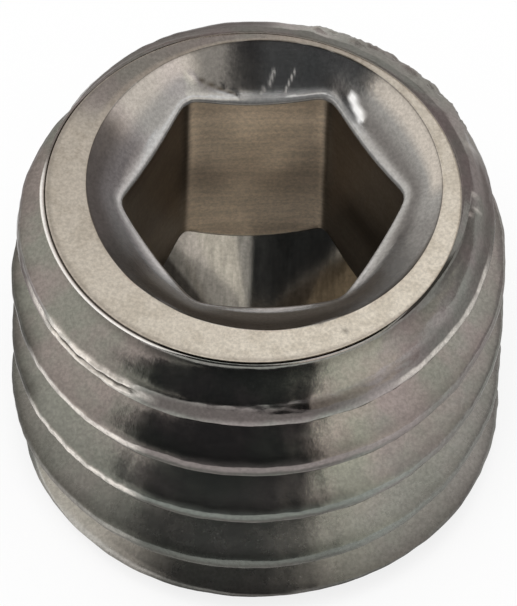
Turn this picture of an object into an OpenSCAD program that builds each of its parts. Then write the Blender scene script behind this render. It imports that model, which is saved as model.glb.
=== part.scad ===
// Socket set screw: a headless screw, threaded from end to end, with a hexagon socket in its upper end
// and a flat, chamfered point at its lower end. Millimetres. The screw stands on its point: the origin is
// where the thread's axis meets the point face, and +Z runs up the screw to the socket end.

/* [Thread] */
// Diameter over the thread crests
thread_d = 6; // [6:0.1:10]
// Rise of the thread in one turn
pitch = 1; // [0.5:0.05:1.25]
// Overall length of the screw
screw_l = 5.1; // [4.8:0.1:20]
// Direction, in degrees from +X, in which a crest leaves the plane of the point face
thread_start = 133; // [0:1:359]
// Flat steps in one turn of the thread
thread_steps = 72; // [36:12:96]

/* [Ends] */
// Step from the thread's crests in to the flat rim at the socket end
rim_step = 0.53; // [0.5:0.01:0.7]
// Angle between the bevel round the rim and the axis
rim_angle = 53; // [30:1:60]
// Offset of the rim and its bevel from the thread's axis along X
rim_x = -0.11; // [-0.15:0.01:0]
// Offset of the rim and its bevel from the thread's axis along Y
rim_y = -0.13; // [-0.15:0.01:0]
// How much lower than a full crest the first turn of thread begins
taper_step = 0.5; // [0.3:0.01:0.52]
// Angle between the taper of the first turn of thread and the axis
taper_angle = 28; // [15:1:45]
// How far a rolled crest would fall short of its full height at the socket end
short_step = 0.18; // [0.05:0.01:0.25]
// Angle between the line of the short crests and the axis
short_angle = 6.5; // [3:0.5:12]
// Diameter of the flat point
point_d = 4.7; // [3:0.1:5]
// Angle between the chamfer round the point and the axis
point_angle = 55; // [30:1:65]
// Offset of the point and its chamfer from the thread's axis along X
point_x = -0.13; // [-0.2:0.01:0]
// Offset of the point and its chamfer from the thread's axis along Y
point_y = 0.15; // [0:0.01:0.2]

/* [Socket] */
// Width of the hexagon socket across its flats
socket_af = 3.02; // [2:0.01:3.05]
// Depth of the socket at its corners
socket_depth = 3.08; // [1.5:0.01:3.2]
// Included angle of the cone at the bottom of the socket
tip_angle = 110; // [100:1:140]
// Width of the countersink outside the socket's corners
countersink_w = 0.37; // [0.1:0.01:0.4]
// Included angle of the countersink
countersink_angle = 105; // [90:1:120]
// Offset of the socket from the thread's axis along X
socket_x = 0.02; // [0:0.01:0.05]
// Offset of the socket from the thread's axis along Y
socket_y = 0.03; // [0:0.01:0.05]
// Turn of the socket about the axis, in degrees
socket_turn = 4; // [0:1:59]

/* [Hidden] */
crest_r = thread_d / 2;
crest_flat = pitch / 8;
root_flat = pitch / 4;
flank_h = (pitch - crest_flat - root_flat) / 2;
thread_depth = flank_h / tan(30);
root_r = crest_r - thread_depth;
rim_r = crest_r - rim_step;
taper_r = crest_r - taper_step;
short_r = crest_r - short_step;
point_r = point_d / 2;
corner_r = socket_af / 2 / cos(30);
countersink_r = corner_r + countersink_w;
tip_h = corner_r / tan(tip_angle / 2);
over = 1;
blank_r = crest_r + over;
$fn = 96;

// The thread runs past both ends of the screw, and is trimmed there.
lead = 1.25;
run_out = 0.5;
turn_at_zero = lead - (flank_h + crest_flat / 2) / pitch;
last = ceil(thread_steps * (screw_l / pitch + lead + run_out));
low_apex_z = -(lead + 0.75) * pitch;
high_apex_z = screw_l + (run_out + 1.75) * pitch;

// Corner k of the ridge at step i: 0 and 3 lie on the root, 1 and 2 on the crest.
function ridge_r(k) = (k == 0 || k == 3) ? root_r : crest_r;
function ridge_z(k) = k == 0 ? 0 : k == 1 ? flank_h : k == 2 ? flank_h + crest_flat : 2 * flank_h + crest_flat;
function step_angle(i) = thread_start + 360 * (i / thread_steps - turn_at_zero);
function step_z(i) = pitch * (i / thread_steps - lead);
function corner(i, k) = [
    ridge_r(k) * cos(step_angle(i)),
    ridge_r(k) * sin(step_angle(i)),
    step_z(i) + ridge_z(k)
];
function id(i, k) = 4 * i + k;

// A bar with one right-hand ridge wound round it, closed at each end by a cap that meets on the axis.
module threaded_bar() {
    low = 4 * (last + 1);
    high = low + 1;
    points = [
        for (i = [0 : last]) for (k = [0 : 3]) corner(i, k),
        [0, 0, low_apex_z],
        [0, 0, high_apex_z]
    ];
    ridge = [
        for (i = [0 : last - 1]) for (k = [0 : 2]) each [
            [id(i, k), id(i, k + 1), id(i + 1, k + 1)],
            [id(i, k), id(i + 1, k + 1), id(i + 1, k)]
        ]
    ];
    root = [
        for (i = [0 : last - thread_steps - 1]) each [
            [id(i, 3), id(i + thread_steps, 0), id(i + thread_steps + 1, 0)],
            [id(i, 3), id(i + thread_steps + 1, 0), id(i + 1, 3)]
        ]
    ];
    low_cap = [
        for (i = [0 : thread_steps - 1]) [low, id(i, 0), id(i + 1, 0)],
        for (k = [0 : 2]) [low, id(0, k + 1), id(0, k)],
        [low, id(thread_steps, 0), id(0, 3)]
    ];
    high_cap = [
        for (i = [last - thread_steps : last - 1]) [high, id(i + 1, 3), id(i, 3)],
        for (k = [0 : 2]) [high, id(last, k), id(last, k + 1)],
        [high, id(last - thread_steps, 3), id(last, 0)]
    ];
    polyhedron(points = points, faces = concat(ridge, root, low_cap, high_cap), convexity = 12);
}

// The space below a cone that narrows upward to radius r at height z, and below that height if it is flat.
module below_cone(r, z, angle, flat) {
    top_r = flat ? r : r - over * tan(angle);
    top_z = flat ? z : z + over;
    rotate_extrude()
        polygon([
            [0, -3 * over],
            [blank_r, -3 * over],
            [blank_r, z - (blank_r - r) / tan(angle)],
            [top_r, top_z],
            [0, top_z]
        ]);
}

// The space above the point face and inside its chamfer, clear of the thread above.
module above_point() {
    rotate_extrude()
        polygon([
            [0, 0],
            [point_r, 0],
            [blank_r, (blank_r - point_r) / tan(point_angle)],
            [blank_r, screw_l + over],
            [0, screw_l + over]
        ]);
}

// Hexagon punch with a conical tip, and the countersink round its mouth.
module socket_space() {
    tip_z = screw_l - socket_depth - tip_h;
    wide = 1.4 * corner_r;
    cone_top = countersink_r + over * tan(countersink_angle / 2);
    intersection() {
        translate([0, 0, tip_z])
            cylinder(h = socket_depth + tip_h + over, r = corner_r, $fn = 6);
        rotate_extrude()
            polygon([
                [0, tip_z],
                [wide, tip_z + wide / tan(tip_angle / 2)],
                [wide, screw_l + 2 * over],
                [0, screw_l + 2 * over]
            ]);
    }
    translate([0, 0, screw_l - countersink_r / tan(countersink_angle / 2)])
        cylinder(h = countersink_r / tan(countersink_angle / 2) + over, r1 = 0, r2 = cone_top);
}

module set_screw() {
    color([0.66, 0.63, 0.60])
        difference() {
            intersection() {
                threaded_bar();
                translate([rim_x, rim_y, 0])
                    below_cone(rim_r, screw_l, rim_angle, true);
                below_cone(taper_r, screw_l, taper_angle, false);
                below_cone(short_r, screw_l, short_angle, false);
                translate([point_x, point_y, 0])
                    above_point();
            }
            translate([socket_x, socket_y, 0])
                rotate([0, 0, socket_turn])
                    socket_space();
        }
}

set_screw();
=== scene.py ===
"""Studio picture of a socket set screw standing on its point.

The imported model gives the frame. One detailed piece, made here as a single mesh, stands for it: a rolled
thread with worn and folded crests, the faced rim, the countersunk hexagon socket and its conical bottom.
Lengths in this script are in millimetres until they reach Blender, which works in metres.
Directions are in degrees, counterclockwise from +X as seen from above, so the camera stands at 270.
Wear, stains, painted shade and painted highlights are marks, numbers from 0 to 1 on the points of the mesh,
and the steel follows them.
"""

import math
from functools import reduce

import bpy
import numpy as np
from mathutils import Matrix, Vector


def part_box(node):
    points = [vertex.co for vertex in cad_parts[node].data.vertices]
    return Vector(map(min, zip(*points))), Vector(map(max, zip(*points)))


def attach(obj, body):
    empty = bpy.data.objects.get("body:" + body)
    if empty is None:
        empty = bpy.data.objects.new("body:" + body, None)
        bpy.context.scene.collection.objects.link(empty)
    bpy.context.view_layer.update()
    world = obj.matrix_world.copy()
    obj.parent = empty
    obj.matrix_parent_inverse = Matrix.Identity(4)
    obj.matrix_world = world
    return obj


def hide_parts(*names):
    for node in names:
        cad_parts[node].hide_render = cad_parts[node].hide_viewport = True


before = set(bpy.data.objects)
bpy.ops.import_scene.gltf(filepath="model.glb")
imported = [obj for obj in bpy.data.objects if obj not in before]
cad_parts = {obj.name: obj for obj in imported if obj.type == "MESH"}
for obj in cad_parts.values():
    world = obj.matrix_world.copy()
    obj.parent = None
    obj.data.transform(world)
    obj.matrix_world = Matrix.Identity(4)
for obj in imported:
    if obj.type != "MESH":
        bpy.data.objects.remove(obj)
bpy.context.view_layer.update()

MM = 0.001

# ---------------------------------------------------------------- sizes
low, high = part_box("set_screw")
SCREW_L = (high.z - low.z) / MM
CREST_R = 3.0
PITCH = 1.0
THREAD_START = 133.0            # direction in which a crest leaves the plane of the point face
CREST_FLAT = PITCH / 8
ROOT_FLAT = PITCH / 4
FLANK_H = (PITCH - CREST_FLAT - ROOT_FLAT) / 2
THREAD_DEPTH = FLANK_H / math.tan(math.radians(30))
CREST_ROUND = 0.12              # roundings of the crest and root, as shares of a flank's height
ROOT_ROUND = 0.30
BROADER = 0.06                  # the crests at the front are wider by this below their middle
FIRST_CREST_Z = (4.05, 4.15)    # the crest next to the rim lies above this height, the others below it

RIM_R = 2.488                   # flat rim at the socket end, off the thread's axis and slightly oval
RIM_CENTRE = (-0.097, -0.166)
RIM_OVAL = 0.035
RIM_SLOPE = math.tan(math.radians(53))
RIM_BLEND = 0.04                # width over which its cone and the thread round into each other
EDGE_W = 0.16                   # the groove and bead round the rim lie within this of its edge
EDGE_BREAK = 0.03               # the flat part of the rim ends this far inside its edge
UNDERCUT_IN = 0.05              # the root of the first turn is no deeper under the rim than this,
UNDERCUT_DOWN = 0.12            # at this distance below it,
UNDERCUT_SLOPE = 0.9            # and falls back so much for each millimetre further down
UNDERCUT_BLEND = 0.03
TAPER_R = 2.50                  # taper of the first turn of thread
TAPER_SLOPE = math.tan(math.radians(28))
TAPER_BLEND = 0.05
SHORT_R = 2.82                  # rolled crests near the socket end fall short of their full height
SHORT_SLOPE = math.tan(math.radians(6.5))
SHORT_BLEND = 0.04
POINT_R = 2.35
POINT_CENTRE = (-0.13, 0.15)
POINT_SLOPE = math.tan(math.radians(55))
POINT_BLEND = 0.05

SOCKET_AF = 3.02
SOCKET_DEPTH = 3.08             # at the socket's corners
SOCKET_CENTRE = (0.02, 0.03)
SOCKET_TURN = 4.0
SOCKET_LIP = 0.05               # width of the rounded lip round the socket's mouth
CORNER_CUT = 0.05               # the socket's corners are rounded by this
CORNER_R = SOCKET_AF / 2 / math.cos(math.radians(30))
DRAWN_UP = 0.035                # the punch drew metal up by this along the flats
TIP_SLOPE = math.tan(math.radians(55))
SINK_R = 2.145
SINK_CENTRE = (0.03, 0.02)
SINK_SLOPE = math.tan(math.radians(52.5))
AXIS = (0.0, 0.0)

COLUMNS = 480                   # round the screw: a multiple of six, so that socket corners have their own
OUTER_ROWS = 130
FINE_ROWS = 1600                # heights from which the outer rows are picked
SHARP_ANGLE = math.radians(38)


# ---------------------------------------------------------------- helpers for shapes
def smooth_min(a, b, width):
    """The lower of a and b, rounded where they are within width of each other."""
    share = np.clip(0.5 + 0.5 * (b - a) / width, 0, 1)
    return b + (a - b) * share - width * share * (1 - share)


def smooth_max(a, b, width):
    return -smooth_min(-a, -b, width)


def strongest(*marks):
    """The highest of several marks at each point."""
    return reduce(np.maximum, marks)


def bell(x, centre, width):
    """One at the centre, fading out over about one width to each side."""
    return np.exp(-(((x - centre) / width) ** 2))


def spot(x, y, centre, width):
    """One at a place seen from above, fading out over about one width round it."""
    return bell(np.hypot(x - centre[0], y - centre[1]), 0, width)


def scratch(x, y, start, end, width):
    """One along a line between two places seen from above, fading out over its width."""
    along = np.subtract(end, start)
    length = math.hypot(*along)
    along = along / length
    travel = np.clip((x - start[0]) * along[0] + (y - start[1]) * along[1], 0, length)
    away = np.hypot(x - start[0] - travel * along[0], y - start[1] - travel * along[1])
    return bell(away, 0, width)


def fade(x, start, end):
    """Rises smoothly from nothing at start to one at end."""
    share = np.clip((x - start) / (end - start), 0, 1)
    return share * share * (3 - 2 * share)


def turn_gap(a, b):
    """Signed difference of two directions in degrees, from -180 to 180."""
    return (a - b + 180) % 360 - 180


def between(direction, start, end, edge):
    """One between two directions, fading to nothing over edge degrees outside them."""
    outside = np.abs(turn_gap(direction, (start + end) / 2)) - (end - start) / 2
    return 1 - fade(outside, 0, edge)


def off_axis_circle(direction, radius, centre):
    """Distance from the thread's axis to a circle about another centre."""
    cos_d = np.cos(np.radians(direction))
    sin_d = np.sin(np.radians(direction))
    along = centre[0] * cos_d + centre[1] * sin_d
    across = centre[0] * sin_d - centre[1] * cos_d
    return along + np.sqrt(radius ** 2 - across ** 2)


class Ripple:
    """Smooth noise from about -1 to 1: a sum of plane waves whose lengths are near one size."""

    def __init__(self, seed, size, waves=14):
        draw = np.random.RandomState(seed)
        way = draw.normal(size=(waves, 3))
        way /= np.linalg.norm(way, axis=1)[:, None]
        self.waves = way * (2 * math.pi / (size * draw.uniform(0.6, 1.8, waves)))[:, None]
        self.phases = draw.uniform(0, 2 * math.pi, waves)
        self.scale = 1 / math.sqrt(waves)

    def __call__(self, x, y, z):
        total = 0
        for wave, phase in zip(self.waves, self.phases):
            total = total + np.sin(wave[0] * x + wave[1] * y + wave[2] * z + phase)
        return total * self.scale


CREST_SWELL = Ripple(seed=3, size=1.1)      # slow changes of a crest's height
CREST_LUMPS = Ripple(seed=5, size=0.16)     # torn metal along a crest
FLANK_WAVES = Ripple(seed=8, size=0.45)     # shallow waves left by rolling
FLANK_GRAIN = Ripple(seed=9, size=0.13)
BURR_LUMPS = Ripple(seed=12, size=0.34)     # torn metal where the thread begins
TORN_GRAIN = Ripple(seed=14, size=0.09)
SINK_WAVES = Ripple(seed=21, size=0.8)
RIM_WAVES = Ripple(seed=22, size=0.6)
WALL_WAVES = Ripple(seed=23, size=0.9)

LUMP_H = 0.003                  # heights of what rolling and wear left on the metal
WORN_LUMP_H = 0.005
SWELL_H = 0.008
FOLD_LIP_H = 0.014
FOLD_LIP_AT = 0.055             # height of a lip over the middle of the folded crest
FOLD_DEPTH = 0.016
FOLD_W = 0.03
TORN_H = 0.022
TORN_GRAIN_H = 0.010
FLANK_WAVE_H = 0.0035
FLANK_GRAIN_H = 0.0012
WALL_WAVE_H = 0.010
SINK_WAVE_H = 0.006
BURR_H = 0.008
CUT_DEPTH = 0.010
RIM_WAVE_H = 0.003


# ---------------------------------------------------------------- the thread
def crest_offset(direction, z):
    """Height above the middle of the nearest crest, and the number of that crest's turn."""
    turns = z / PITCH - (direction - THREAD_START) / 360
    nearest = np.round(turns)
    return (turns - nearest) * PITCH, nearest


def first_crest(z, offset):
    """One on the crest next to the rim, nothing on the crests below it."""
    return fade(z - offset, *FIRST_CREST_Z)


def crest_fold(direction, z, offset):
    """Where the first crest was rolled too low to close, and its two lips stand apart."""
    return first_crest(z, offset) * between(direction, 214, 237, 6)


def crest_wear(direction, z, offset):
    """How far a crest is knocked bright, along the left of the front."""
    first = first_crest(z, offset)
    lowest = 1 - fade(z - offset, 1.2, 1.6)
    others = between(direction, 210, 238, 8) * (1 - first) * (1 - 0.8 * lowest)
    return others + first * between(direction, 206, 236, 12)


def crest_scrape(direction, z, offset):
    """A scrape along the lower edge of the first crest, at the right."""
    return first_crest(z, offset) * between(direction, 312, 342, 10)


def thread_radius(direction, z):
    """Distance from the axis to the outside of a thread of full height."""
    offset, _ = crest_offset(direction, z)
    broader = BROADER * between(direction, 245, 300, 25) * (offset < 0)
    drop = (np.abs(offset) - CREST_FLAT / 2 - broader) / FLANK_H
    drop = smooth_max(drop, 0, CREST_ROUND)
    drop = smooth_min(drop, 1, ROOT_ROUND)
    return CREST_R - drop * THREAD_DEPTH


def rim_edge(direction):
    """Distance from the axis to the rim's outer edge."""
    return off_axis_circle(direction, RIM_R, RIM_CENTRE) + RIM_OVAL * np.cos(np.radians(2 * direction))


def along_thread(ripple, direction, turn):
    """Noise that follows a crest: the direction and the number of the turn choose the place."""
    angle = np.radians(direction)
    turns_apart = 7.0
    return ripple(CREST_R * np.cos(angle), CREST_R * np.sin(angle), turns_apart * turn)


def crest_relief(direction, z):
    """Height of the lumps on a crest, and of the two lips where it is folded."""
    offset, turn = crest_offset(direction, z)
    lump_h = LUMP_H + WORN_LUMP_H * crest_wear(direction, z, offset)
    lumps = lump_h * along_thread(CREST_LUMPS, direction, turn)
    swell = SWELL_H * along_thread(CREST_SWELL, direction, turn)
    fold = FOLD_LIP_H * bell(np.abs(offset), FOLD_LIP_AT, FOLD_W) - FOLD_DEPTH * bell(offset, 0, FOLD_W)
    return (lumps + swell) * bell(offset, 0, 0.07) + fold * crest_fold(direction, z, offset)


def torn_relief(direction, z):
    """Height of the torn metal where the thread begins, at the right of the back."""
    offset, _ = crest_offset(direction, z)
    x = CREST_R * np.cos(np.radians(direction))
    y = CREST_R * np.sin(np.radians(direction))
    torn = first_crest(z, offset) * between(direction, 28, 78, 6) * bell(offset, 0.02, 0.15)
    return torn * (TORN_H * (1 + BURR_LUMPS(x, y, 3 * z)) + TORN_GRAIN_H * TORN_GRAIN(x, y, z))


def outer_radius(direction, z):
    """Distance from the axis to the outside of the screw."""
    down = SCREW_L - z
    edge = rim_edge(direction)
    undercut = edge - UNDERCUT_IN - UNDERCUT_SLOPE * (down - UNDERCUT_DOWN)
    radius = smooth_min(thread_radius(direction, z), SHORT_R + down * SHORT_SLOPE, SHORT_BLEND)
    radius = smooth_min(radius, TAPER_R + down * TAPER_SLOPE, TAPER_BLEND)
    radius = smooth_min(radius, edge + down * RIM_SLOPE, RIM_BLEND)
    radius = smooth_max(radius, undercut, UNDERCUT_BLEND)
    radius = radius + crest_relief(direction, z) + torn_relief(direction, z)
    point = off_axis_circle(direction, POINT_R, POINT_CENTRE) + z * POINT_SLOPE
    return smooth_min(radius, point, POINT_BLEND)


# ---------------------------------------------------------------- marks that are placed one by one
def side_painted_shade(direction, z):
    """Painted shade: darker metal on the tapered turn at the right and back, and lower down at the front and
    left.
    """
    right = 0.65 * between(direction, -42, 62, 14) + 0.30 * between(direction, -14, 62, 14)
    right = right * fade(z, 4.25, 4.5)
    behind = 0.30 * between(direction, 96, 172, 20) * fade(z, 4.1, 4.35)
    front = between(direction, 240, 330, 15) * (1 - fade(z, 0.50, 0.85))
    left = 0.35 * between(direction, 180, 246, 15) * fade(z, 1.2, 1.4) * (1 - fade(z, 2.0, 2.4))
    return np.clip(right + behind + front + left, 0, 1)


def low_wear(direction, z):
    """Broad pale wear of the lowest turn at the left."""
    return (1 - fade(z, 0.95, 1.35)) * between(direction, 206, 240, 12)


def specks(x, y, z):
    """Bright chips on the tapered turn at the right."""
    chips = spot(x, y, (2.55, 0.06), 0.035) + spot(x, y, (2.60, -0.13), 0.03)
    chips = chips + spot(x, y, (2.51, -0.24), 0.03) + 0.6 * spot(x, y, (2.50, 0.85), 0.07)
    return np.clip(0.7 * chips * fade(z, 4.3, 4.5), 0, 1)


def sink_damage(x, y):
    """Relief of the countersink along its normal, and where it has burrs, a painted highlight and a cut."""
    burrs = scratch(x, y, (0.24, 1.66), (0.35, 1.86), 0.012)
    burrs = burrs + scratch(x, y, (0.05, 1.74), (0.10, 1.86), 0.016)
    burrs = burrs + 0.6 * scratch(x, y, (-0.06, 1.64), (-0.02, 1.69), 0.016)
    burrs = burrs + 0.8 * scratch(x, y, (-0.92, 1.69), (-0.88, 1.68), 0.035)
    # a painted highlight near the socket's corner, with no relief
    highlight_spot = scratch(x, y, (1.05, 1.53), (1.17, 1.27), 0.040)
    cut = scratch(x, y, (-0.80, 1.69), (-0.34, 1.60), 0.016)
    relief = SINK_WAVE_H * SINK_WAVES(x, y, 0) + BURR_H * burrs - CUT_DEPTH * cut
    return relief, np.clip(burrs, 0, 1), np.clip(1.8 * highlight_spot, 0, 1), np.clip(cut, 0, 1)


def pits(x, y):
    """Small dark hollows in the rim and a nick where it meets the countersink."""
    hollows = spot(x, y, (1.047, -2.082), 0.030) + spot(x, y, (1.13, -1.99), 0.022)
    nick = spot(x, y, (0.747, -1.978), 0.035)
    return np.clip(0.7 * hollows + 0.9 * nick, 0, 1)


def tip_painted_shade(x, y):
    """Painted shade on the drilled cone: over most of its right side, and in a wedge at its left."""
    right = fade(x, 0.05, 0.25) * fade(y - 0.83 - 0.53 * (x - 0.63), -0.05, 0.07)
    left = fade(-x, 0.25, 0.40) * fade(0.24 - 0.79 * x - y, -0.05, 0.04)
    return 0.8 * np.maximum(0.45 * right, left)


# ---------------------------------------------------------------- rings of the mesh
MARKS = ("rim", "sink", "wall", "tip", "thread",            # which part of the screw a point is on
         "helix_sin", "helix_cos",                          # where it is across the thread, as an angle
         "wear", "fold", "scrape",                          # what happened to the crest
         "tarnish", "fresh", "grime", "matte", "glint")     # painted shade, fresh metal and painted highlights, grime and painted shade, matt metal, brightest painted highlights

# shares of the way across each zone at which its rings lie, closer together where it curves
TIP_ROWS = (*np.linspace(0.02, 0.97, 14), 0.99, 1.0)
WALL_ROWS = (0.01, 0.04, 0.12, 0.2, 0.28, 0.34, 0.4, 0.46, 0.54, 0.64, 0.75, 0.86, 0.95, 1.0)
LIP_ROWS = (0.0, 0.12, 0.3, 0.45, 0.6, 0.75, 0.9)
SINK_ROWS = (0.0, 0.05, 0.1, 0.17, 0.25, 0.35, 0.45, 0.55, 0.65, 0.75, 0.84, 0.91, 0.96, 0.985)
RIM_ROWS = (0.0, 0.06, 0.15, 0.3, 0.5, 0.7, 0.85, 0.94)
EDGE_ROWS = (0.0, 0.07, 0.13, 0.19, 0.25, 0.32, 0.39, 0.46, 0.53, 0.61, 0.70, 0.80, 0.90)
FACE_ROWS = (0.97, 0.6, 0.3, 0.02)

directions = np.arange(COLUMNS) * 360.0 / COLUMNS + SOCKET_TURN
cos_c = np.cos(np.radians(directions))
sin_c = np.sin(np.radians(directions))

# distances from the socket's centre to its walls, and the heights that follow from them
hexagon = SOCKET_AF / 2 / np.cos(np.radians((directions - SOCKET_TURN) % 60 - 30))
flatness = (CORNER_R - hexagon) / (CORNER_R - SOCKET_AF / 2)    # nothing in a corner, one mid-flat
walls = hexagon - CORNER_CUT * (1 - flatness) ** 6
tip_z = SCREW_L - SOCKET_DEPTH - CORNER_R / TIP_SLOPE
sink_foot_z = SCREW_L - (SINK_R - walls) / SINK_SLOPE
mouth_z = sink_foot_z + DRAWN_UP * flatness

# distances from the thread's axis to the two edges of the flat rim
sink_edge = off_axis_circle(directions, SINK_R, SINK_CENTRE)
rim = rim_edge(directions) - EDGE_BREAK
# painted shade on the rim and its edge, darkest towards the back and left
rim_painted_shade = 0.4 - 0.4 * np.cos(np.radians(directions + 50)) + 0.4 * between(directions, 70, 140, 25)


def in_plan(radius, centre):
    """Places seen from above, at a distance from a centre in each column's direction."""
    return centre[0] + radius * cos_c, centre[1] + radius * sin_c


class Rings:
    """Rings of points from the tip of the socket, over the rim and down to the centre of the point."""

    def __init__(self):
        self.points = []
        self.outer_start = 0
        self.marks = {name: [] for name in MARKS}

    def add(self, radius, z, centre=AXIS, **marks):
        x, y = in_plan(radius, centre)
        self.points.append(np.stack([x, y, z + 0 * radius], axis=1))
        for name, values in self.marks.items():
            values.append(np.zeros(COLUMNS) + marks.get(name, 0.0))


def add_tip(rings):
    """The drilled cone at the bottom of the socket."""
    for share in TIP_ROWS:
        radius = hexagon * share
        x, y = in_plan(radius, SOCKET_CENTRE)
        clean = fade(-x, 0.06, 0.14) * fade(y, 0.2, 0.5)
        # painted light: a paler, partly matt wedge at the left of the cone
        lit_wedge = between(directions, 90, 124, 8)
        rings.add(radius, tip_z + radius / TIP_SLOPE, SOCKET_CENTRE, tip=1, grime=tip_painted_shade(x, y),
                  matte=(0.33 + 0.22 * lit_wedge) * clean, fresh=0.10 * lit_wedge * clean)


def add_walls(rings):
    """The flats of the socket, from the drilled cone to the lip."""
    foot_z = tip_z + hexagon / TIP_SLOPE
    wall_shade = 0.74 * (1 - between(directions, 66, 122, 3))         # painted shade on all but the flat that faces the camera
    wall_shade = wall_shade + 0.24 * between(directions, 188, 360, 3) + 0.06 * between(directions, 6, 62, 3)
    x, y = in_plan(walls, SOCKET_CENTRE)
    for share in WALL_ROWS:
        z = foot_z + (mouth_z - SOCKET_LIP - foot_z) * share
        wave = WALL_WAVE_H * WALL_WAVES(x, y, z) * math.sin(math.pi * share)
        # painted shadow under the lip, and painted dark bands near the middle and at the foot
        tarnish = 0.6 * (fade(z, 4.3, 4.6) + bell(z, 3.15, 0.22) + bell(z, 2.0, 0.05))
        matte = 0.38 + 0.14 * (1 - fade(z, 2.4, 3.0)) - 0.24 * (wall_shade > 0.3)
        rings.add(walls + wave, z, SOCKET_CENTRE, wall=1, matte=matte, tarnish=np.clip(tarnish, 0, 1),
                  grime=wall_shade)


def add_lip(rings):
    """The rounded bead of burnished metal round the socket's mouth."""
    matte = 0.50 - 0.33 * between(directions, 200, 300, 20) - 0.2 * between(directions, 70, 118, 12)
    # painted shade on the front of the lip
    tarnish = 0.9 * between(directions, 240, 300, 20)
    for share in LIP_ROWS:
        bead = 0.012 * math.sin(math.pi * share)
        out = SOCKET_LIP * share ** 2
        z = mouth_z - SOCKET_LIP * (1 - share) ** 2 + out / SINK_SLOPE + bead
        rings.add(walls + out - 0.6 * bead, z, SOCKET_CENTRE, sink=1,
                  fresh=0.12, matte=matte, tarnish=tarnish)


def sink_finish(share, x, y, burrs, highlight_spot, cut):
    """Marks of the countersink at a share of the way from its lip to the rim, with painted shade and painted
    reflections among them.
    """
    near_lip = bell(share, 0, 0.10)
    inner = 1 - fade(share, 0.2, 0.6)
    shaded = between(directions, 190, 330, 15)      # metal that mirrors only the socket opposite it
    front = between(directions, 240, 300, 15)
    left = between(directions, 180, 245, 15)
    # painted shade where the countersink mirrors dark places
    tarnish = between(directions, 96, 114, 8) + inner * between(directions, -12, 62, 12)
    tarnish = tarnish + 0.9 * between(directions, 158, 215, 14) + 0.5 * between(directions, 308, 345, 12)
    matte = 0.05 + shaded * (0.02 + 0.14 * inner * left) + (0.36 - 0.25 * front) * near_lip
    # painted reflections: paler patches at the back-left and at the right
    painted_sheen = 0.55 * between(directions, 122, 152, 10) * fade(share, 0.35, 0.7)
    painted_sheen = painted_sheen + 0.75 * between(directions, 5, 50, 9) * fade(share, 0.55, 0.75)
    # darker over the left and front, towards the rim
    outer_darkening = 0.66 * between(directions, 158, 300, 14) * fade(share, 0.3, 0.75)
    # painted shade: a dark line along the outer edge, wider where the metal mirrors the socket
    edge = 0.8 * fade(share, 0.95 - 0.10 * shaded, 0.98)
    return {
        "tarnish": np.clip(tarnish, 0, 1) * (1 - near_lip),
        "matte": strongest(matte, 0.8 * highlight_spot, 0.5 * burrs),
        "glint": highlight_spot,
        "fresh": strongest(0.7 * burrs, 0.15 * near_lip, painted_sheen),
        "grime": strongest(cut, outer_darkening, edge, pits(x, y)),
    }


def add_sink(rings):
    """The countersink, from the lip to the rim."""
    start = walls + SOCKET_LIP
    start_z = sink_foot_z + SOCKET_LIP / SINK_SLOPE
    edge_x, edge_y = in_plan(sink_edge, AXIS)
    end = np.hypot(edge_x - SOCKET_CENTRE[0], edge_y - SOCKET_CENTRE[1])
    for share in SINK_ROWS:
        radius = start + (end - start) * share
        x, y = in_plan(radius, SOCKET_CENTRE)
        relief, burrs, highlight_spot, cut = sink_damage(x, y)
        z = start_z + (SCREW_L - start_z) * share + 0.010 * math.sin(math.pi * share)
        z = z + DRAWN_UP * flatness * bell(radius - start, 0, 0.06)
        rings.add(radius - 0.6 * relief, z + 0.8 * relief, SOCKET_CENTRE, sink=1,
                  **sink_finish(share, x, y, burrs, highlight_spot, cut))


def add_rim(rings):
    """The flat rim, from the countersink to the groove at its outer edge."""
    for share in RIM_ROWS:
        radius = sink_edge + (rim - sink_edge) * share
        x, y = in_plan(radius, AXIS)
        waves = RIM_WAVE_H * (1 - RIM_WAVES(x, y, 0)) * math.sin(math.pi * share)
        worn_edges = 0.008 * (2 * share - 1) ** 4
        z = SCREW_L - worn_edges - waves
        # painted shade: the back of the rim takes less of its own tint and is darker
        dull = between(directions, 96, 148, 16) * fade(share, 0.05, 0.35)
        # painted shade in a band along the rim's outer edge, at the left and front
        edge_shade = 0.5 * fade(share, 0.85, 1.0) * between(directions, 150, 310, 20)
        rings.add(radius, z, rim=1 - 0.7 * dull, tarnish=strongest(rim_painted_shade, 0.5 * dull),
                  grime=strongest(edge_shade, pits(x, y)))


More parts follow.
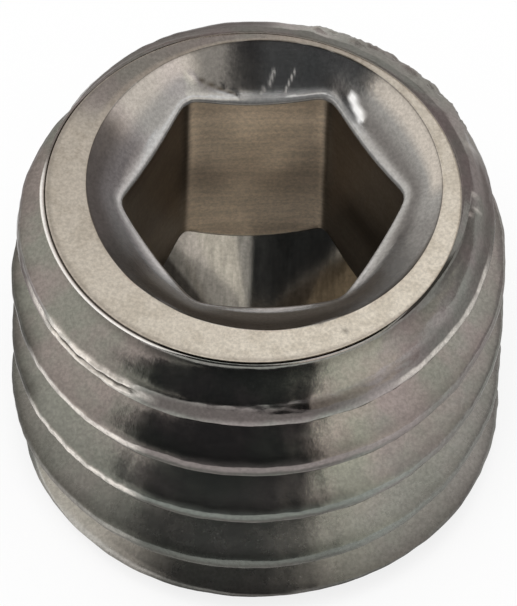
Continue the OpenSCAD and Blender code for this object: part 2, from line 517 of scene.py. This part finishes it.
def add_edge(rings):
    """The groove round the rim and the rolled bead below it, down to the tapered turn."""
    groove_at, groove_w = 0.12, 0.07        # shares of the way down
    bead_at, bead_w = 0.38, 0.17
    # the bead's painted highlight lies at the left
    bright = between(directions, 185, 240, 14)
    beaded = between(directions, 120, 300, 20)
    groove = 0.006 + 0.008 * between(directions, 130, 240, 20) + 0.028 * between(directions, 252, 300, 14)
    bead = 0.012 * beaded + 0.030 * between(directions, 160, 240, 16)
    end_z = SCREW_L - EDGE_W / RIM_SLOPE
    end = outer_radius(directions, np.full(COLUMNS, end_z))
    # the bead is turned out over the thread where the rim is wider than it
    bulge = np.clip(0.045 + 0.025 * bright + (rim - end) * bead_at, 0, None)
    bulge = bulge * between(directions, 150, 300, 20)
    # painted shade at the back and right
    tarnish = between(directions, 96, 172, 20) + 0.9 * between(directions, -45, 66, 15)
    for share in EDGE_ROWS:
        on_bead = bell(share, bead_at, bead_w)
        radius = rim + (end - rim) * share + bulge * bell(share, bead_at + 0.03, 0.20)
        z = SCREW_L + (end_z - SCREW_L) * share ** 1.05
        z = z - groove * bell(share, groove_at, groove_w) + bead * on_bead
        # painted shade in the groove
        edge_shade = 0.9 * between(directions, 120, 330, 20) * bell(share, groove_at, 0.06)
        rings.add(radius, z, rim=1 - fade(share, 0.02, 0.10), tarnish=strongest(rim_painted_shade, tarnish),
                  grime=edge_shade, fresh=on_bead * (0.05 + 0.95 * bright) * beaded,
                  matte=0.35 * on_bead * bright, glint=0.5 * on_bead * bright)


def crowded_heights():
    """Heights of the outer rows at each column, crowded where the thread turns sharply."""
    fine = np.linspace(0, SCREW_L - EDGE_W / RIM_SLOPE, FINE_ROWS)
    grid_d, grid_z = np.meshgrid(directions, fine, indexing="ij")
    offset, _ = crest_offset(grid_d, grid_z)
    weight = 0.55 + 4.5 * bell(offset, 0, 0.11)
    weight += 1.2 * (bell(offset, PITCH / 2, 0.12) + bell(offset, -PITCH / 2, 0.12))
    weight *= 1 + 0.8 * (grid_z > SCREW_L - 1.3)
    total = np.cumsum(weight, axis=1)
    total = (total - total[:, :1]) / (total[:, -1:] - total[:, :1])
    share = np.linspace(0, 1, OUTER_ROWS)
    return np.array([np.interp(share, total[c], fine) for c in range(COLUMNS)])


def add_outside(rings):
    """The tapered turn, the thread and the chamfer of the point, from the rim downwards."""
    rings.outer_start = len(rings.points)
    heights = crowded_heights()
    for z in heights.T[::-1]:
        radius = outer_radius(directions, z)
        x, y = in_plan(radius, AXIS)
        radius = radius + FLANK_WAVE_H * FLANK_WAVES(x, y, z) + FLANK_GRAIN_H * FLANK_GRAIN(x, y, z)
        offset, _ = crest_offset(directions, z)
        angle = 2 * math.pi * offset / PITCH
        torn = fade(z, 4.2, 4.6) * between(directions, 20, 84, 8)
        pale = low_wear(directions, z)
        rings.add(radius, z, thread=1 - torn, helix_sin=np.sin(angle), helix_cos=np.cos(angle),
                  wear=crest_wear(directions, z, offset), fold=crest_fold(directions, z, offset),
                  scrape=crest_scrape(directions, z, offset), tarnish=side_painted_shade(directions, z),
                  matte=0.12 * pale, fresh=strongest(0.12 * torn, specks(x, y, z), 0.35 * pale))


def add_point_face(rings):
    """The flat face of the point, which the screw stands on."""
    foot = outer_radius(directions, np.zeros(COLUMNS))
    for share in FACE_ROWS:
        rings.add(foot * share, 0)


def build_rings():
    rings = Rings()
    for add_zone in (add_tip, add_walls, add_lip, add_sink, add_rim, add_edge, add_outside, add_point_face):
        add_zone(rings)
    return rings


# ---------------------------------------------------------------- the mesh
def ring_faces(count):
    """Faces between rings that follow one another, and a cap at either end."""
    ring = np.arange(COLUMNS)
    after = (ring + 1) % COLUMNS
    faces = []
    for row in range(count - 1):
        inner = row * COLUMNS
        outer = inner + COLUMNS
        faces.append(np.stack([inner + ring, outer + ring, outer + after, inner + after], axis=1))
    faces = np.concatenate(faces).tolist()
    faces.append(ring.tolist())
    faces.append(((count - 1) * COLUMNS + ring)[::-1].tolist())
    return faces


def sharpen(mesh, rings):
    """Gives the socket and the rim sharp edges, and the thread none."""
    mesh.shade_smooth()
    mesh.set_sharp_from_angle(angle=SHARP_ANGLE)
    ends = np.empty(2 * len(mesh.edges), dtype=np.int32)
    mesh.edges.foreach_get("vertices", ends)
    ends = ends.reshape(-1, 2)
    sharp = np.empty(len(mesh.edges), dtype=bool)
    mesh.attributes["sharp_edge"].data.foreach_get("value", sharp)
    first = rings.outer_start * COLUMNS
    last = (rings.outer_start + OUTER_ROWS - 1) * COLUMNS
    on_thread = (ends.min(axis=1) >= first) & (ends.max(axis=1) < last)
    mesh.attributes["sharp_edge"].data.foreach_set("value", sharp & ~on_thread)


def build_mesh(rings):
    points = np.concatenate(rings.points) * MM
    points[:, 2] = np.clip(points[:, 2], 0, SCREW_L * MM)
    mesh = bpy.data.meshes.new("screw_body")
    mesh.from_pydata(points.tolist(), [], ring_faces(len(rings.points)))
    for name, values in rings.marks.items():
        attribute = mesh.attributes.new(name, "FLOAT", "POINT")
        attribute.data.foreach_set("value", np.concatenate(values).astype(np.float32))
    mesh.update()
    sharpen(mesh, rings)
    return mesh


mesh = build_mesh(build_rings())
screw = bpy.data.objects.new("screw_body", mesh)
bpy.context.scene.collection.objects.link(screw)
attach(screw, "root")
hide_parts("set_screw")


# ---------------------------------------------------------------- helpers for materials
class Nodes:
    """Short calls for building the node tree of one material or world."""

    def __init__(self, owner):
        owner.use_nodes = True
        self.tree = owner.node_tree
        self.tree.nodes.clear()

    def add(self, kind, sockets=None, **settings):
        node = self.tree.nodes.new(kind)
        for name, value in settings.items():
            setattr(node, name, value)
        for name, value in (sockets or {}).items():
            self.put(node.inputs[name], value)
        return node

    def put(self, socket, value):
        if isinstance(value, bpy.types.NodeSocket):
            self.tree.links.new(value, socket)
        else:
            socket.default_value = value

    def math(self, operation, first, second=0.0):
        node = self.add("ShaderNodeMath", operation=operation)
        self.put(node.inputs[0], first)
        self.put(node.inputs[1], second)
        return node.outputs[0]

    def plus(self, first, *others):
        return reduce(lambda a, b: self.math("ADD", a, b), others, first)

    def minus(self, first, second):
        return self.math("SUBTRACT", first, second)

    def times(self, first, *others):
        return reduce(lambda a, b: self.math("MULTIPLY", a, b), others, first)

    def highest(self, first, *others):
        return reduce(lambda a, b: self.math("MAXIMUM", a, b), others, first)

    def ramp(self, value, start, end, low=0.0, high=1.0):
        """Takes value from low at start to high at end, smoothly."""
        node = self.add("ShaderNodeMapRange", interpolation_type="SMOOTHSTEP")
        for socket, number in zip(node.inputs, (value, start, end, low, high)):
            self.put(socket, number)
        return node.outputs[0]

    def mix(self, share, first, second, blend="MIX"):
        node = self.add("ShaderNodeMix", data_type="RGBA", blend_type=blend)
        self.put(node.inputs[0], share)
        for socket, value in ((node.inputs[6], first), (node.inputs[7], second)):
            self.put(socket, value if isinstance(value, bpy.types.NodeSocket) else (*value, 1))
        return node.outputs[2]

    def blend(self, share, first, second):
        """The same for plain numbers."""
        node = self.add("ShaderNodeMix", data_type="FLOAT")
        for socket, value in ((node.inputs[0], share), (node.inputs[2], first), (node.inputs[3], second)):
            self.put(socket, value)
        return node.outputs[0]

    def noise(self, place, scale, detail=3.0, rough=0.55, stretch=None):
        """Noise from 0 to 1; scale is the number of blotches in a millimetre."""
        if stretch:
            place = self.add("ShaderNodeMapping", {"Vector": place, "Scale": stretch}).outputs[0]
        sockets = {"Vector": place, "Scale": scale, "Detail": detail, "Roughness": rough}
        return self.add("ShaderNodeTexNoise", sockets).outputs[0]

    def attribute(self, name):
        return self.add("ShaderNodeAttribute", attribute_name=name).outputs["Fac"]


# ---------------------------------------------------------------- steel
THREAD_TINT = (0.372, 0.350, 0.328)
THREAD_GREEN = (0.325, 0.350, 0.310)
THREAD_PINK = (0.405, 0.357, 0.348)
THREAD_LOW = (0.340, 0.352, 0.325)
# painted shade in the thread's roots and along its crests
ROOT_SHADE = (0.16, 0.155, 0.14)
CREST_SHADE = (0.105, 0.090, 0.085)
CREST_SHADE_LOW = (0.072, 0.070, 0.062)
SHOULDER_TINT = (0.36, 0.31, 0.30)
SHOULDER_LOW = (0.27, 0.30, 0.27)
RIM_TINT = (0.74, 0.68, 0.58)
RIM_DULL = (0.64, 0.58, 0.485)
SINK_TINT = (0.44, 0.44, 0.435)
WALL_TINT = (0.98, 0.80, 0.61)
WALL_DARK = (0.84, 0.69, 0.52)
TIP_TINT = (0.54, 0.51, 0.45)
# pale colour of fresh metal, and of painted highlights
FRESH_AND_HIGHLIGHT_TINT = (0.86, 0.80, 0.73)
# colour of painted highlights
PAINTED_HIGHLIGHT_TINT = (1.00, 0.99, 0.97)
# dark colour of grime, and of painted shade in dark places and lines
GRIME_AND_SHADE_TINT = (0.080, 0.068, 0.056)
# multiplied in where the marks paint shade
PAINTED_SHADE_TINT = (0.37, 0.345, 0.345)          # these four are multiplied in
GRAIN_DARK = (0.82, 0.82, 0.82)
SCORE_DARK = (0.80, 0.80, 0.80)
GRAIN_LIGHT = (1.12, 1.12, 1.12)
REFLECTION_TINT = (0.58, 0.56, 0.55, 1)


class Steel(Nodes):
    """The material of the screw: tints with painted shade and painted highlights, matt places and fine
    relief that follow the marks on the mesh.
    """

    def __init__(self):
        self.material = bpy.data.materials.new("steel")
        super().__init__(self.material)
        self.marks = {name: self.attribute(name) for name in MARKS}
        metres = self.add("ShaderNodeTexCoord").outputs["Object"]
        scale = (1 / MM, 1 / MM, 1 / MM)
        self.place = self.add("ShaderNodeVectorMath", {0: metres, 1: scale}, operation="MULTIPLY").outputs[0]
        self.x, self.y, self.height = self.add("ShaderNodeSeparateXYZ", {0: self.place}).outputs
        self.mottle = self.noise(self.place, 4.0, detail=5.0, rough=0.65)
        self.grain = self.noise(self.place, 22.0, detail=4.0, rough=0.7)

        # distance across the thread from the middle of a crest, in millimetres, good near the crest
        wander = self.times(self.minus(self.noise(self.place, 3.0), 0.5), 0.05)
        self.across = self.plus(self.times(self.marks["helix_sin"], PITCH / (2 * math.pi)), wander)
        self.near_crest = self.times(self.marks["thread"], self.ramp(self.marks["helix_cos"], 0.0, 0.3))

        self.worn = self.worn_crests()
        self.seam = self.times(self.line(0.005, 0.025), self.marks["fold"])
        self.shoulder = self.rubbed_shoulder()
        shader = self.add("ShaderNodeBsdfPrincipled", {
            "Base Color": self.colour(),
            "Metallic": self.minus(1.0, self.matt_places()),
            "Roughness": self.roughness(),
            "Specular IOR Level": 0.2,
            "Specular Tint": REFLECTION_TINT,
            "Normal": self.relief(),
        })
        self.add("ShaderNodeOutputMaterial", {"Surface": shader.outputs[0]})

    def line(self, at, width):
        """One along the crests at a height over their middle, fading out over its width."""
        away = self.math("ABSOLUTE", self.minus(self.across, at))
        return self.times(self.near_crest, self.ramp(away, width, 0.25 * width))

    def worn_crests(self):
        """Bright metal along worn crests, on the two lips of the fold and along the scrape."""
        one_line = self.times(self.line(0.0, 0.075), self.marks["wear"], self.minus(1.0, self.marks["fold"]))
        lips = self.times(self.highest(self.line(0.065, 0.065), self.line(-0.06, 0.08)), self.marks["fold"])
        scraped = self.times(self.line(-0.085, 0.05), self.marks["scrape"], 0.6)
        lumps = self.ramp(self.noise(self.place, 7.0), 0.35, 0.6, 0.6, 1.0)
        return self.times(self.highest(one_line, scraped, lips), lumps)

    def rubbed_shoulder(self):
        """The shoulder over a crest at the front, rubbed dull."""
        at_front = self.ramp(self.y, -1.9, -2.5)
        below_first = self.ramp(self.height, 4.25, 3.9)
        weaker_low = self.ramp(self.height, 1.2, 2.0, 0.5, 1.0)
        return self.times(self.line(0.02, 0.09), at_front, below_first, weaker_low)

    def thread_colour(self):
        colour = self.mix(self.ramp(self.noise(self.place, 1.1), 0.38, 0.62), THREAD_GREEN, THREAD_PINK)
        colour = self.mix(0.7, THREAD_TINT, colour)
        colour = self.mix(self.ramp(self.height, 3.2, 1.8, 0.0, 0.65), colour, THREAD_LOW)
        # painted shade in the roots
        root = self.times(self.marks["thread"], self.ramp(self.marks["helix_cos"], -0.3, -0.9))
        colour = self.mix(self.times(root, 0.6), colour, ROOT_SHADE)
        # painted shade along the crests, fainter where worn and towards the right
        crest_shade = self.mix(self.ramp(self.height, 4.0, 3.2), CREST_SHADE, CREST_SHADE_LOW)
        fainter = self.highest(self.times(self.marks["wear"], 0.6), self.ramp(self.x, 0.8, 1.6, 0.0, 0.4))
        colour = self.mix(self.times(self.line(0.0, 0.17), self.minus(0.9, fainter)), colour, crest_shade)
        shoulder_tint = self.mix(self.ramp(self.height, 3.0, 2.5), SHOULDER_TINT, SHOULDER_LOW)
        return self.mix(self.times(self.shoulder, 0.5), colour, shoulder_tint)

    def colour(self):
        marks = self.marks
        streaks = self.ramp(self.noise(self.place, 2.4, stretch=(0.5, 0.5, 6.0)), 0.35, 0.65)
        scores = self.ramp(self.noise(self.place, 2.5, stretch=(6.0, 1.0, 1.0)), 0.3, 0.7)
        blotches = self.ramp(self.mottle, 0.40, 0.58)
        grain = self.ramp(self.grain, 0.3, 0.7)
        colour = self.mix(marks["sink"], self.thread_colour(), SINK_TINT)
        colour = self.mix(marks["wall"], colour, self.mix(streaks, WALL_DARK, WALL_TINT))
        colour = self.mix(marks["tip"], colour, TIP_TINT)
        colour = self.mix(marks["rim"], colour, self.mix(blotches, RIM_DULL, RIM_TINT))
        # painted shade
        colour = self.mix(self.times(marks["tarnish"], 0.75), colour, PAINTED_SHADE_TINT, "MULTIPLY")
        # fresh metal and painted highlights
        colour = self.mix(self.highest(marks["fresh"], self.worn), colour, FRESH_AND_HIGHLIGHT_TINT)
        # grime and painted shade
        colour = self.mix(self.highest(marks["grime"], self.times(self.seam, 0.85)), colour, GRIME_AND_SHADE_TINT)
        colour = self.mix(marks["tip"], colour, self.mix(scores, SCORE_DARK, GRAIN_LIGHT), "MULTIPLY")
        colour = self.mix(1.0, colour, self.mix(grain, GRAIN_DARK, GRAIN_LIGHT), "MULTIPLY")
        # painted highlights
        return self.mix(marks["glint"], colour, PAINTED_HIGHLIGHT_TINT)

    def matt_places(self):
        shoulder = self.times(self.shoulder, 0.22)
        worn = self.times(self.worn, 0.6)
        low_thread = self.times(self.marks["thread"], self.ramp(self.height, 3.6, 1.4, 0.0, 0.06))
        return self.highest(self.marks["matte"], shoulder, worn, low_thread)

    def roughness(self):
        low_down = self.ramp(self.height, 3.4, 0.8, 0.0, 0.12)
        rougher = self.plus(self.times(self.marks["rim"], 0.20), self.times(self.marks["wall"], 0.14))
        dull = self.plus(self.ramp(self.mottle, 0.3, 0.7, 0.14, 0.20), low_down, rougher)
        return self.times(dull, self.blend(self.marks["tip"], 1.0, 0.45))

    def relief(self):
        height = self.plus(self.times(self.grain, 0.35), self.times(self.mottle, 0.65),
                           self.times(self.minus(self.worn, self.seam), 1.2))
        strength = self.blend(self.marks["tip"], 0.13, 0.05)
        bump = self.add("ShaderNodeBump", {"Height": height, "Strength": strength, "Distance": 0.02 * MM})
        return bump.outputs[0]


mesh.materials.append(Steel().material)

# ---------------------------------------------------------------- stage
FLOOR_SIDE = 4000.0
FLOOR_GREY = 0.9
FLOOR_GLOW = 0.8                # share of plain white in the floor, where it is seen
SOFT_LIGHT = 0.7                # strength of the light from all round


def stage_piece(name, corners, faces, material):
    piece_mesh = bpy.data.meshes.new(name)
    piece_mesh.from_pydata([Vector(corner) * MM for corner in corners], [], faces)
    piece_mesh.materials.append(material)
    piece = bpy.data.objects.new(name, piece_mesh)
    bpy.context.scene.collection.objects.link(piece)
    return piece


def background_ray(n):
    """One for the rays that see the white background: from the camera, a reflection or through glass."""
    rays = n.add("ShaderNodeLightPath").outputs
    return n.highest(rays["Is Camera Ray"], rays["Is Glossy Ray"], rays["Is Transmission Ray"])


def floor_material():
    paint = bpy.data.materials.new("floor_paint")
    n = Nodes(paint)
    matt = n.add("ShaderNodeBsdfDiffuse", {"Color": (FLOOR_GREY, FLOOR_GREY, FLOOR_GREY, 1)})
    white = n.add("ShaderNodeEmission", {"Color": (1, 1, 1, 1)})
    share = n.times(background_ray(n), FLOOR_GLOW)
    mixed = n.add("ShaderNodeMixShader", {0: share, 1: matt.outputs[0], 2: white.outputs[0]})
    n.add("ShaderNodeOutputMaterial", {"Surface": mixed.outputs[0]})
    return paint


def glowing(name, first, second):
    """Paint of a card, in one colour or going to a second one over the card's share attribute."""
    paint = bpy.data.materials.new(name)
    n = Nodes(paint)
    colour = n.mix(n.ramp(n.attribute("share"), 0, 1), first, second) if second else (*first, 1)
    glow = n.add("ShaderNodeEmission", {"Color": colour})
    n.add("ShaderNodeOutputMaterial", {"Surface": glow.outputs[0]})
    return paint


def card(name, place, first, second=None, across=24, up=12):
    """A panel near the screw, seen only in its metal; place gives a point for two shares from 0 to 1."""
    corners = []
    shares = []
    for row in range(up + 1):
        for column in range(across + 1):
            corners.append(place(column / across, row / up))
            shares.append(column / across)
    faces = []
    for row in range(up):
        for column in range(across):
            start = row * (across + 1) + column
            faces.append((start, start + 1, start + across + 2, start + across + 1))
    panel = stage_piece(name, corners, faces, glowing(name, first, second))
    panel.data.attributes.new("share", "FLOAT", "POINT").data.foreach_set("value", shares)
    panel.visible_camera = False
    panel.visible_diffuse = False
    panel.visible_shadow = False


def bent(way, height, distance):
    """Place of a card curved round the screw, between two directions and two elevations."""
    def place(across, up):
        azimuth = math.radians(way[0] + (way[1] - way[0]) * across)
        elevation = math.radians(height[0] + (height[1] - height[0]) * up)
        level = distance * math.cos(elevation)
        return level * math.cos(azimuth), level * math.sin(azimuth), distance * math.sin(elevation)
    return place


def flat(near, far, height):
    """Place of a level card on the camera's side; near and far are its ends in x, nearest and farthest."""
    def place(across, up):
        start = near[0] + (far[0] - near[0]) * up
        end = near[1] + (far[1] - near[1]) * up
        return start + (end - start) * across, FLAG_Y[0] + (FLAG_Y[1] - FLAG_Y[0]) * up, height
    return place


def build_floor():
    side = FLOOR_SIDE / 2
    corners = [(-side, -side, 0), (side, -side, 0), (side, side, 0), (-side, side, 0)]
    stage_piece("floor", corners, [(0, 1, 2, 3)], floor_material())


BLACK = (0.030, 0.032, 0.034)
DARK = (0.54, 0.50, 0.50)
LIGHT = (0.73, 0.695, 0.65)
MAUVE = (0.80, 0.74, 0.72)
BEIGE = (0.95, 0.905, 0.81)
FLAG_Y = (-5, -300)
FLAG_Z = 100
FRONT_R = 300
CARD_R = 340


def build_cards():
    """What the metal mirrors: a dark band in front, and pale panels of several greys all round."""
    card("flag_over", flat((-68, 4), (-148, 126), FLAG_Z), BLACK)
    card("flag_over_side", flat((-84, -68), (-164, -148), FLAG_Z + 0.01), LIGHT, BLACK)
    card("flag_front", bent((246, 291), (0, 21), FRONT_R), BLACK)
    card("left_front", bent((190, 246), (0, 62), CARD_R), LIGHT, BLACK)
    card("left", bent((110, 190), (0, 60), CARD_R), LIGHT)
    card("back", bent((80, 110), (0, 40), CARD_R), MAUVE)
    card("right_back", bent((5, 80), (23, 45), CARD_R), MAUVE)
    card("right_low", bent((-5, 80), (0, 23), CARD_R), DARK)
    card("right_high", bent((-20, 5), (23, 62), CARD_R), LIGHT)
    card("right", bent((-36, -20), (0, 62), CARD_R), MAUVE)
    card("right_front", bent((-80, -36), (0, 74), CARD_R), BEIGE)


def build_world():
    world = bpy.data.worlds.new("studio")
    bpy.context.scene.world = world
    n = Nodes(world)
    white = n.add("ShaderNodeBackground", {"Color": (1, 1, 1, 1), "Strength": 1.0})
    soft = n.add("ShaderNodeBackground", {"Color": (1, 1, 1, 1), "Strength": SOFT_LIGHT})
    sky = n.add("ShaderNodeMixShader", {0: background_ray(n), 1: soft.outputs[0], 2: white.outputs[0]})
    n.add("ShaderNodeOutputWorld", {"Surface": sky.outputs[0]})


LAMP_PLACE = (-15, -80, 255)
LAMP_SIZE = 120
LAMP_POWER = 0.35


def build_lamp():
    lamp_data = bpy.data.lights.new("overhead", "AREA")
    lamp_data.shape = "DISK"
    lamp_data.size = LAMP_SIZE * MM
    lamp_data.energy = LAMP_POWER
    lamp = bpy.data.objects.new("overhead", lamp_data)
    bpy.context.scene.collection.objects.link(lamp)
    lamp.location = Vector(LAMP_PLACE) * MM
    lamp.rotation_euler = (-lamp.location).to_track_quat("-Z", "Y").to_euler()
    lamp.visible_glossy = False


build_floor()
build_cards()
build_world()
build_lamp()

# ---------------------------------------------------------------- camera
ELEVATION = 55.06               # the camera looks down from the front, slightly rolled
ROLL = 2.0
DISTANCE = 120.0
AIM = Vector((0.0093, 0.0, 2.619))
SENSOR = 36.0
LENS = 584.436


def build_camera():
    camera_data = bpy.data.cameras.new("camera")
    camera_data.sensor_width = SENSOR
    camera_data.lens = LENS
    camera_data.clip_start = 0.01
    camera = bpy.data.objects.new("camera", camera_data)
    bpy.context.scene.collection.objects.link(camera)
    slant = math.radians(ELEVATION)
    place = AIM + DISTANCE * Vector((0, -math.cos(slant), math.sin(slant)))
    camera.matrix_world = (
        Matrix.Translation(place * MM)
        @ Matrix.Rotation(math.radians(90) - slant, 4, "X")
        @ Matrix.Rotation(math.radians(ROLL), 4, "Z")
    )
    bpy.context.scene.camera = camera


build_camera()
bpy.context.scene.view_settings.view_transform = "Standard"
